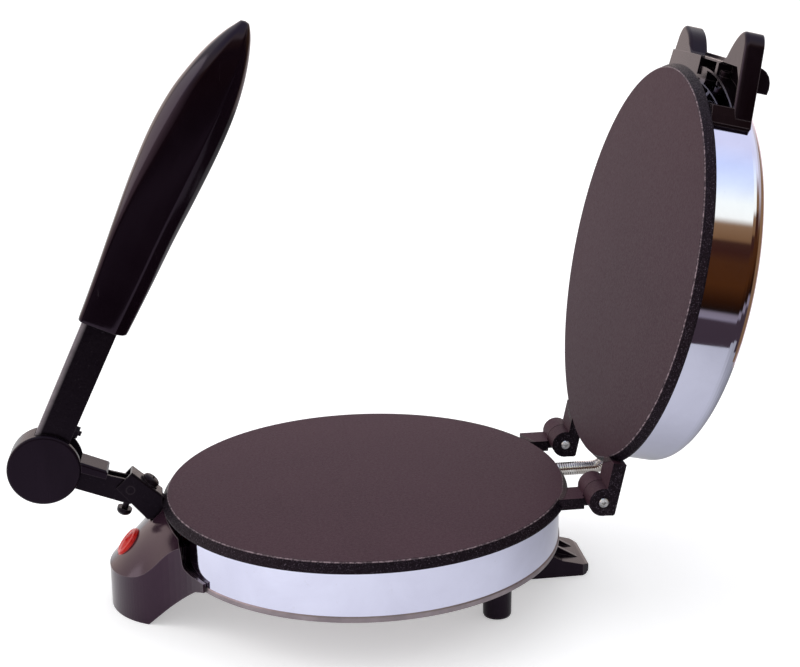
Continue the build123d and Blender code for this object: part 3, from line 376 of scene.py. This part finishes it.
def lens():
    m = Mat("red_lens")
    v = m.noise(220, 3, 0.5)
    m.set("Base Color", m.mix(v, (0.42, 0.006, 0.005), (0.62, 0.012, 0.008)))
    m.set("Roughness", m.remap(v, 0.3, 0.7, 0.22, 0.34))
    m.put(Coat_Weight=0.15, Coat_Roughness=0.12, Specular_IOR_Level=0.3, Subsurface_Weight=0.25, Subsurface_Radius=(0.006, 0.001, 0.0008), Subsurface_Scale=1.0)
    # painted glow: the lens itself emits a faint red light, though the neon lamp behind it emits none
    m.bsdf.inputs["Emission Color"].default_value = (0.75, 0.02, 0.01, 1)
    m.bsdf.inputs["Emission Strength"].default_value = 0.05
    return m.mat


def glass():
    m = Mat("lamp_glass")
    v = m.noise(300, 2)
    m.put(Base_Color=(0.95, 0.86, 0.74), Transmission_Weight=0.9, IOR=1.48)
    m.set("Roughness", m.remap(v, 0.3, 0.7, 0.02, 0.08))
    return m.mat


def ceramic(name, a, b):
    m = Mat(name)
    v = m.noise(300, 4, 0.6)
    m.set("Base Color", m.mix(v, a, b))
    m.set("Roughness", m.remap(v, 0.3, 0.7, 0.35, 0.6))
    m.set("Normal", m.bump(v, 0.15, 0.0004))
    return m.mat


def fibre():
    m = Mat("fibre_board")
    v = m.noise(500, 5, 0.7, vector=m.stretch(3.0, 1.0, 1.0))
    m.set("Base Color", m.mix(v, (0.52, 0.48, 0.40), (0.75, 0.71, 0.62)))
    m.set("Roughness", m.remap(v, 0.3, 0.7, 0.8, 0.95))
    m.set("Normal", m.bump(v, 0.5, 0.0008))
    return m.mat


def heater_sheath():
    m = Mat("heater_sheath")
    v = m.noise(180, 4, 0.6)
    m.set("Base Color", m.mix(v, (0.20, 0.17, 0.15), (0.38, 0.34, 0.31)))
    m.put(Metallic=1.0)
    m.set("Roughness", m.remap(v, 0.3, 0.7, 0.35, 0.55))
    m.set("Normal", m.bump(v, 0.2, 0.0004))
    return m.mat


LOW_C = Vector((SX, 0, SZ))
LID_C = lid_open((0, 0, 0.001))
M = {
    "low_plate": plate_material("low_plate_cast", LOW_C, Vector((0, 0, 1))),
    # the lid's face uses a darker copy of the coat (0.80): painted shade
    "lid_plate": plate_material("lid_plate_cast", LID_C, LID_N, coat_shade=0.80),
    "low_band": band_material("low_band_steel", LOW_C, Vector((0, 0, 1))),
    "lid_band": band_material("lid_band_steel", LID_C, LID_N, warm=True),
    "gloss": gloss_black("black_phenolic", tint=(0.0040, 0.0024, 0.0042), level=0.22),
    "gloss_crown": gloss_black("black_phenolic_crown", tint=(0.0030, 0.0016, 0.0026), rough=(0.14, 0.26), level=0.32, edge=0.75),
    "gloss_hub": gloss_black("black_phenolic_hub", tint=(0.0044, 0.0024, 0.0050), rough=(0.18, 0.34), level=0.15, edge=0.30),
    # painted light: the housing's copy of the phenolic has a lighter, purpler tint than the other black parts
    "gloss_housing": gloss_black("black_phenolic_housing", tint=(0.0150, 0.0062, 0.0112), rough=(0.09, 0.18), level=0.46, edge=0.9),
    "gloss_grip": gloss_black("black_phenolic_grip", tint=(0.0022, 0.0009, 0.0020), rough=(0.08, 0.18), scale=0.6, edge=0.15, level=0.36),
    "pan": pan_steel(),
    "enamel": enamel("black_enamel"),
    "enamel_arm": enamel("black_enamel_arm", ((HX, 0.0, HZ), (sin(radians(64.9)), 0.0, -cos(radians(64.9))), -0.0094, -0.0118)),
    "zinc": zinc("zinc_plate"),
    "conduit": conduit_material(),
    "rubber": rubber(),
    "lens": lens(),
    "glass": glass(),
    "block": ceramic("block_ceramic", (0.78, 0.76, 0.70), (0.88, 0.87, 0.82)),
    "control": ceramic("control_ceramic", (0.66, 0.63, 0.56), (0.80, 0.77, 0.70)),
    "fibre": fibre(),
    "sheath": heater_sheath(),
}

USE = {
    "low_plate": ["lower_plate"],
    "lid_plate": ["upper_plate"],
    "low_band": ["lower_band"],
    "lid_band": ["lid_cover", "lid_cap_nut"],
    "gloss": ["peg_feet", "rear_leg"],
    "gloss_crown": ["lid_crown"],
    "gloss_hub": ["hub_near_cap", "hub_far_cap", "link_neck"],
    "gloss_housing": ["terminal_housing"],
    "gloss_grip": ["grip"],
    "pan": ["base_pan"],
    "enamel": ["lever_bracket", "link_channel", "arm_clip", "bracket_washer", "bracket_bolt", "link_stop_screw", "arm_clip_bolt",
               "link_cross_block", "link_pivot_pin"],
    "enamel_arm": ["handle_arm"],
    "zinc": ["terminal_screws", "base_nuts", "base_stud", "base_screws", "housing_screws", "lid_stud", "lid_inner_nut", "crown_screws", "hinge_pins",
             "knee_pin", "lower_clamp_plate", "upper_clamp_plate", "grip_screws"],
    "conduit": ["wire_conduit"],
    "rubber": ["base_gland", "lid_gland", "cord_inlet_bush"],
    "lens": ["indicator_lens", "indicator_bezel"],
    "glass": ["neon_lamp"],
    "block": ["terminal_block"],
    "control": ["thermostat", "thermal_fuse"],
    "fibre": ["lower_insulation", "upper_insulation"],
    "sheath": ["lower_heating_element", "upper_heating_element"],
}
done = set()
for key, names in USE.items():
    for n in names:
        o = nodes[n]
        o.data.materials.clear()
        o.data.materials.append(M[key])
        done.add(n)
left = set(nodes) - done
if left:
    raise RuntimeError("nodes with no material: %s" % sorted(left))


# ------------------------------------------------------------------ pieces that replace plain CAD shapes
ARM_A = radians(64.9)
AX, AZ = cos(ARM_A), sin(ARM_A)
BX, BZ = AZ, -AX


def am(s, n):
    """Point s mm along the arm from the hub axis and n mm across it, towards the plate."""
    return Vector((HX + (AX * s + BX * n) * 0.001, 0.0, HZ + (AZ * s + BZ * n) * 0.001))


def new_object(name, bm, mat):
    me = bpy.data.meshes.new(name)
    bmesh.ops.recalc_face_normals(bm, faces=bm.faces)
    bm.to_mesh(me)
    bm.free()
    for p in me.polygons:
        p.use_smooth = True
    me.materials.append(mat)
    o = bpy.data.objects.new(name, me)
    bpy.context.scene.collection.objects.link(o)
    return o


GRIP = [
    (91.0, 13.3, -15.7, 11.0), (104.0, 14.1, -16.2, 11.6), (125.4, 15.3, -17.4, 12.6), (153.7, 16.6, -19.2, 14.0), (182.0, 18.6, -20.6, 15.4),
    (209.0, 20.0, -20.6, 16.2), (232.0, 20.0, -18.2, 16.2), (250.0, 18.3, -13.8, 15.2), (264.0, 15.6, -9.0, 13.0), (275.0, 12.4, -3.8, 9.5),
    (281.0, 9.8, 0.0, 6.0), (284.6, 7.6, 2.4, 3.0),
]


def catmull(p0, p1, p2, p3, t):
    return tuple(0.5 * (2 * b + (c - a) * t + (2 * a - 5 * b + 4 * c - d) * t * t + (3 * b - a - 3 * c + d) * t ** 3) for a, b, c, d in zip(p0, p1, p2, p3))


def grip_rows(n=5):
    g = [tuple(2 * a - b for a, b in zip(GRIP[0], GRIP[1]))] + GRIP + [tuple(2 * a - b for a, b in zip(GRIP[-1], GRIP[-2]))]
    rows = []
    for i in range(1, len(g) - 2):
        for k in range(n):
            rows.append(catmull(g[i - 1], g[i], g[i + 1], g[i + 2], k / n))
    rows.append(GRIP[-1])
    return rows


def grip_ring(row, shrink=0.0):
    """Bevelled section with every corner softened."""
    s, hi_, lo_, w = row
    hi_, lo_, w = hi_ - shrink, lo_ + shrink, w - shrink
    c = (hi_ + lo_) / 2
    hp, hm = hi_ - c, lo_ - c
    t = max(0.0, min(1.0, (s - 130.0) / 100.0))
    t = t * t * (3 - 2 * t)
    left = [(0.86, 0.42, 1.0, 1.0), (0.93, 0.66, 0.93, 0.86), (0.985, 0.93, 0.78, 0.46), (1.0, 1.0, 0.60, 0.18)]
    pts = [(1.00 * hp, 0.30), (0.86 * hp, 0.62), (0.52 * hp, 0.97), (0.0, 1.0)]
    pts += [((a + (b - a) * t) * hm, c_ + (d_ - c_) * t) for a, b, c_, d_ in left]
    full = [(c + n_, f * w) for n_, f in pts] + [(c + n_, -f * w) for n_, f in reversed(pts)]
    k = len(full)
    out = []
    for i in range(k):
        a, b, d = Vector(full[i - 1]), Vector(full[i]), Vector(full[(i + 1) % k])
        ra, rd = min(0.35, 1.1 / max(0.01, (a - b).length)), min(0.35, 1.1 / max(0.01, (d - b).length))
        p, q = b.lerp(a, ra), b.lerp(d, rd)
        out += [p, (p + q + 2 * b) / 4, q]
        out.append(q.lerp(d.lerp(b, min(0.35, 1.1 / max(0.01, (d - b).length))), 0.5))
    ring = []
    for n_, y_ in out:
        v = am(s, n_)
        ring.append(Vector((v.x, y_ * 0.001, v.z)))
    return ring


def make_grip():
    bm = bmesh.new()
    rings = []
    rows = grip_rows()
    first = rows[0]
    inner = [(first[0] + 9.0, *first[1:])]
    # inside of the socket, the end face with a rounded lip, then the outside up to the tip
    for row, shr in [(inner[0], 3.4), (first, 3.4), ((first[0] - 0.0, *first[1:]), 3.2), ((first[0], *first[1:]), 1.3)]:
        rings.append(grip_ring(row, shr))
    rings.append(grip_ring((first[0] + 0.15, *first[1:]), 0.5))
    rings.append(grip_ring((first[0] + 0.55, *first[1:]), 0.12))
    rings.append(grip_ring((first[0] + 1.2, *first[1:]), 0.0))
    rings += [grip_ring(r_) for r_ in rows[1:]]
    vr = [[bm.verts.new(v) for v in ring] for ring in rings]
    for a, b in zip(vr, vr[1:]):
        k = len(a)
        for i in range(k):
            bm.faces.new((a[i], a[(i + 1) % k], b[(i + 1) % k], b[i]))
    tip = am(285.3, 5.0)
    t = bm.verts.new(tip)
    last = vr[-1]
    for i in range(len(last)):
        bm.faces.new((last[i], last[(i + 1) % len(last)], t))
    deep = vr[0]
    bm.faces.new(deep)
    # screw wells on the far side
    o = new_object("grip_moulding", bm, M["gloss_grip"])
    cut = bmesh.new()
    for s_, n_ in ((112.0, -2.0), (172.0, -2.0)):
        c = am(s_, n_)
        lowr, highr = [], []
        for i in range(32):
            a = 2 * pi * i / 32
            x, z = c.x + 0.0039 * cos(a), c.z + 0.0039 * sin(a)
            lowr.append(cut.verts.new((x, 0.0099, z)))
            highr.append(cut.verts.new((x, 0.030, z)))
        for i in range(32):
            cut.faces.new((lowr[i], lowr[(i + 1) % 32], highr[(i + 1) % 32], highr[i]))
        cut.faces.new(lowr)
        cut.faces.new(highr)
    cutter = new_object("grip_cutter", cut, M["gloss_grip"])
    mod = o.modifiers.new("wells", "BOOLEAN")
    mod.operation = "DIFFERENCE"
    mod.object = cutter
    mod.solver = "EXACT"
    bpy.context.view_layer.update()
    me = bpy.data.meshes.new_from_object(o.evaluated_get(bpy.context.evaluated_depsgraph_get()))
    o.modifiers.clear()
    old = o.data
    o.data = me
    bpy.data.meshes.remove(old)
    bpy.data.objects.remove(cutter)
    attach(o, "arm")
    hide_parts("grip")
    return o


make_grip()


def make_conduit():
    """Flexible metal conduit: a spiral-ribbed tube from the base's gland to the lid's."""
    xg = sqrt(0.1175 ** 2 - 0.024 ** 2)
    c0 = Vector((xg + 0.0039 + SX, 0.024, -0.012 + SZ))
    c2 = lid_open((xg + 0.0039, 0.024, 0.025))
    d2 = Vector((cos(OPEN), 0, -sin(OPEN)))
    k = (c0.z - c2.z) / d2.z
    c1 = Vector((c2.x + d2.x * k, 0.024, c0.z))
    a, b = (c0 - c1).normalized(), (c2 - c1).normalized()
    half = a.angle(b) / 2
    rad = 0.0085
    t = rad / math_tan(half)
    p, q = c1 + a * t, c1 + b * t
    centre = c1 + (a + b).normalized() * (rad / sin(half))
    pts = []
    n = 60
    for i in range(n + 1):
        pts.append(c0.lerp(p, i / n))
    va, vb = p - centre, q - centre
    ang = va.angle(vb)
    for i in range(1, 41):
        w = i / 40
        pts.append(centre + (va * sin((1 - w) * ang) + vb * sin(w * ang)) / sin(ang))
    for i in range(1, n + 1):
        pts.append(q.lerp(c2, i / n))
    # even spacing
    L = [0.0]
    for u_, v_ in zip(pts, pts[1:]):
        L.append(L[-1] + (v_ - u_).length)
    total = L[-1]
    rows = int(total / 0.00025)
    bm = bmesh.new()
    prev = None
    j = 0
    for i in range(rows + 1):
        s = total * i / rows
        while j < len(L) - 2 and L[j + 1] < s:
            j += 1
        f_ = (s - L[j]) / max(1e-9, L[j + 1] - L[j])
        c = pts[j].lerp(pts[j + 1], f_)
        tan_ = (pts[j + 1] - pts[j]).normalized()
        side = Vector((0, 1, 0))
        up_ = tan_.cross(side).normalized()
        ring = []
        for m_ in range(28):
            th = 2 * pi * m_ / 28
            ph = (s / 0.00150 - m_ / 28) % 1.0
            prof = 0.5 + 0.5 * cos(2 * pi * ph)
            rr = 0.0043 * (1 - 0.045 * (1 - prof ** 0.6))
            ring.append(bm.verts.new(c + side * rr * cos(th) + up_ * rr * sin(th)))
        if prev:
            for m_ in range(28):
                bm.faces.new((prev[m_], prev[(m_ + 1) % 28], ring[(m_ + 1) % 28], ring[m_]))
        else:
            bm.faces.new(ring)
        prev = ring
    bm.faces.new(prev)
    o = new_object("conduit_ribbed", bm, M["conduit"])
    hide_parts("wire_conduit")
    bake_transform(o)
    return o


def math_tan(a):
    return sin(a) / cos(a)


make_conduit()

# ------------------------------------------------------------------ floor and light
FRONT = -0.385
RIGHT = 0.42


def floor(name, x0, x1, y0, y1, glossy):
    bm = bmesh.new()
    bm.faces.new([bm.verts.new(p) for p in ((x0, y0, 0), (x1, y0, 0), (x1, y1, 0), (x0, y1, 0))])
    me = bpy.data.meshes.new(name)
    bm.to_mesh(me)
    bm.free()
    o = bpy.data.objects.new(name, me)
    bpy.context.scene.collection.objects.link(o)
    me.materials.append(FLOOR)
    o.visible_glossy = glossy


mf = Mat("pale_floor")
vf = mf.noise(2.0, 3)
mf.put(Roughness=0.9, Specular_IOR_Level=0.1, Emission_Color=(1.0, 1.0, 1.0, 1.0))
# painted reflection: glossy rays see the floor darken towards the right
fall = mf.remap(mf.xyz(mf.pos())[0], -0.30, 0.50, 0, 1)
fall = mf.ramp(fall, [(0.0, 0.90), (0.19, 0.86), (0.41, 0.76), (0.56, 0.68), (0.69, 0.52), (0.78, 0.36), (1.0, 0.30)])
# painted shade: in reflections the floor is darker again to the right of the base, from its front edge backwards
shade = mf.math("MULTIPLY", mf.remap(mf.xyz(mf.pos())[1], -0.12, 0.06, 0, 1), mf.remap(mf.xyz(mf.pos())[0], 0.08, 0.18, 0, 1))
fall = mf.math("MULTIPLY", fall, mf.fmix(shade, 1.0, 0.62))
glossy = mf.node("ShaderNodeLightPath").outputs["Is Glossy Ray"]
vis = mf.fmix(glossy, 1.0, fall)
mf.set("Base Color", mf.mix(vis, (0.0, 0.0, 0.0), mf.mix(vf, (0.925, 0.93, 0.935), (0.94, 0.94, 0.943))))
mf.set("Emission Strength", mf.math("MULTIPLY", vis, 0.38))
FLOOR = mf.mat
floor("floor", -12, RIGHT, FRONT, 14, True)
floor("floor_right", RIGHT, 12, FRONT, 14, False)
floor("floor_front", -12, 12, -14, FRONT, False)


def area(name, loc, target, size, energy, color=(1, 1, 1), size_y=None):
    d = bpy.data.lights.new(name, "AREA")
    d.shape = "RECTANGLE"
    d.size = size
    d.size_y = size_y or size
    d.energy = energy
    d.color = color
    o = bpy.data.objects.new(name, d)
    bpy.context.scene.collection.objects.link(o)
    o.location = loc
    o.rotation_euler = (Vector(target) - Vector(loc)).to_track_quat("-Z", "Y").to_euler()
    o.visible_camera = False
    return o


area("left_box", (-1.5, 0.2, 0.95), (0, 0, 0.15), 0.9, 4.0, (1.0, 0.97, 0.95))
sun = bpy.data.lights.new("soft_sun", "SUN")
sun.energy = 0.55
sun.angle = radians(70)
sun_o = bpy.data.objects.new("soft_sun", sun)
sun_o.rotation_euler = (radians(-22), radians(-18), 0)
sun_o.visible_glossy = False
bpy.context.scene.collection.objects.link(sun_o)

world = bpy.data.worlds.new("studio")
bpy.context.scene.world = world
world.use_nodes = True
wt = world.node_tree
bg = wt.nodes["Background"]


class W(Mat):
    """The same helpers on the world's node tree."""

    def __init__(self, tree):
        self.t, self.n = tree, tree.nodes


w = W(wt)
tc = wt.nodes.new("ShaderNodeTexCoord")
dirs = w.xyz(tc.outputs["Generated"])
zn = w.remap(dirs[2], -1.0, 1.0, 0.0, 1.0)
Z = lambda z: (z + 1) / 2
# room seen from the front: dark and brown up to about 30 degrees, bright above
front = w.ramp(zn, [
    (0.0, (0.055, 0.036, 0.044)), (Z(-0.31), (0.060, 0.040, 0.048)), (Z(-0.285), (0.30, 0.26, 0.29)), (Z(-0.24), (0.26, 0.22, 0.24)),
    (Z(-0.215), (0.012, 0.006, 0.004)), (Z(-0.13), (0.030, 0.009, 0.003)), (Z(0.02), (0.078, 0.024, 0.006)), (Z(0.22), (0.080, 0.026, 0.008)), (Z(0.31), (0.052, 0.016, 0.010)),
    (Z(0.385), (0.060, 0.022, 0.013)), (Z(0.41), (0.25, 0.130, 0.055)), (Z(0.52), (0.33, 0.19, 0.090)), (Z(0.565), (1.40, 1.42, 1.15)),
    (Z(0.66), (1.38, 1.44, 1.18)), (Z(0.75), (1.02, 1.14, 1.20)), (Z(0.82), (0.84, 0.95, 1.16)), (1.0, (0.85, 0.90, 1.12)),
])
right = w.ramp(zn, [(0.0, (0.20, 0.12, 0.07)), (Z(0.0), (0.30, 0.165, 0.075)), (Z(0.14), (0.32, 0.18, 0.085)), (Z(0.27), (0.66, 0.58, 0.53)), (Z(0.42), (0.86, 0.83, 0.84)), (Z(0.52), (1.0, 1.0, 1.05)), (1.0, (0.9, 0.93, 1.1))])
back = w.ramp(zn, [(0.0, (0.8, 0.76, 0.8)), (Z(-0.08), (1.15, 1.0, 1.0)), (Z(0.08), (1.42, 1.20, 1.14)), (Z(0.26), (1.42, 1.20, 1.14)), (Z(0.5), (1.0, 0.97, 1.0)), (1.0, (0.9, 0.93, 1.1))])
lefty = w.ramp(zn, [(0.0, (0.8, 0.7, 0.7)), (Z(0.0), (1.35, 1.10, 0.98)), (Z(0.35), (1.45, 1.22, 1.12)), (Z(0.55), (1.0, 0.98, 1.02)), (1.0, (0.9, 0.93, 1.1))])
col = w.mix(w.remap(dirs[0], -0.45, -0.65, 0, 1), back, lefty)
col = w.mix(w.remap(dirs[0], 0.60, 0.80, 0, 1), col, right)
frontmask = w.math("MULTIPLY", w.remap(dirs[1], 0.05, -0.20, 0, 1), w.remap(dirs[0], -0.80, -0.60, 0, 1))
col = w.mix(frontmask, col, front)
lpn = wt.nodes.new("ShaderNodeLightPath")
out = w.mix(lpn.outputs["Is Glossy Ray"], (0.74, 0.74, 0.75), col)
out = w.mix(lpn.outputs["Is Camera Ray"], out, (0.98, 0.98, 0.98))
wt.links.new(out, bg.inputs[0])
bg.inputs[1].default_value = 1.0

sc = bpy.context.scene
sc.view_settings.view_transform = "Standard"
sc.view_settings.look = "None"
sc.view_settings.exposure = 0.0
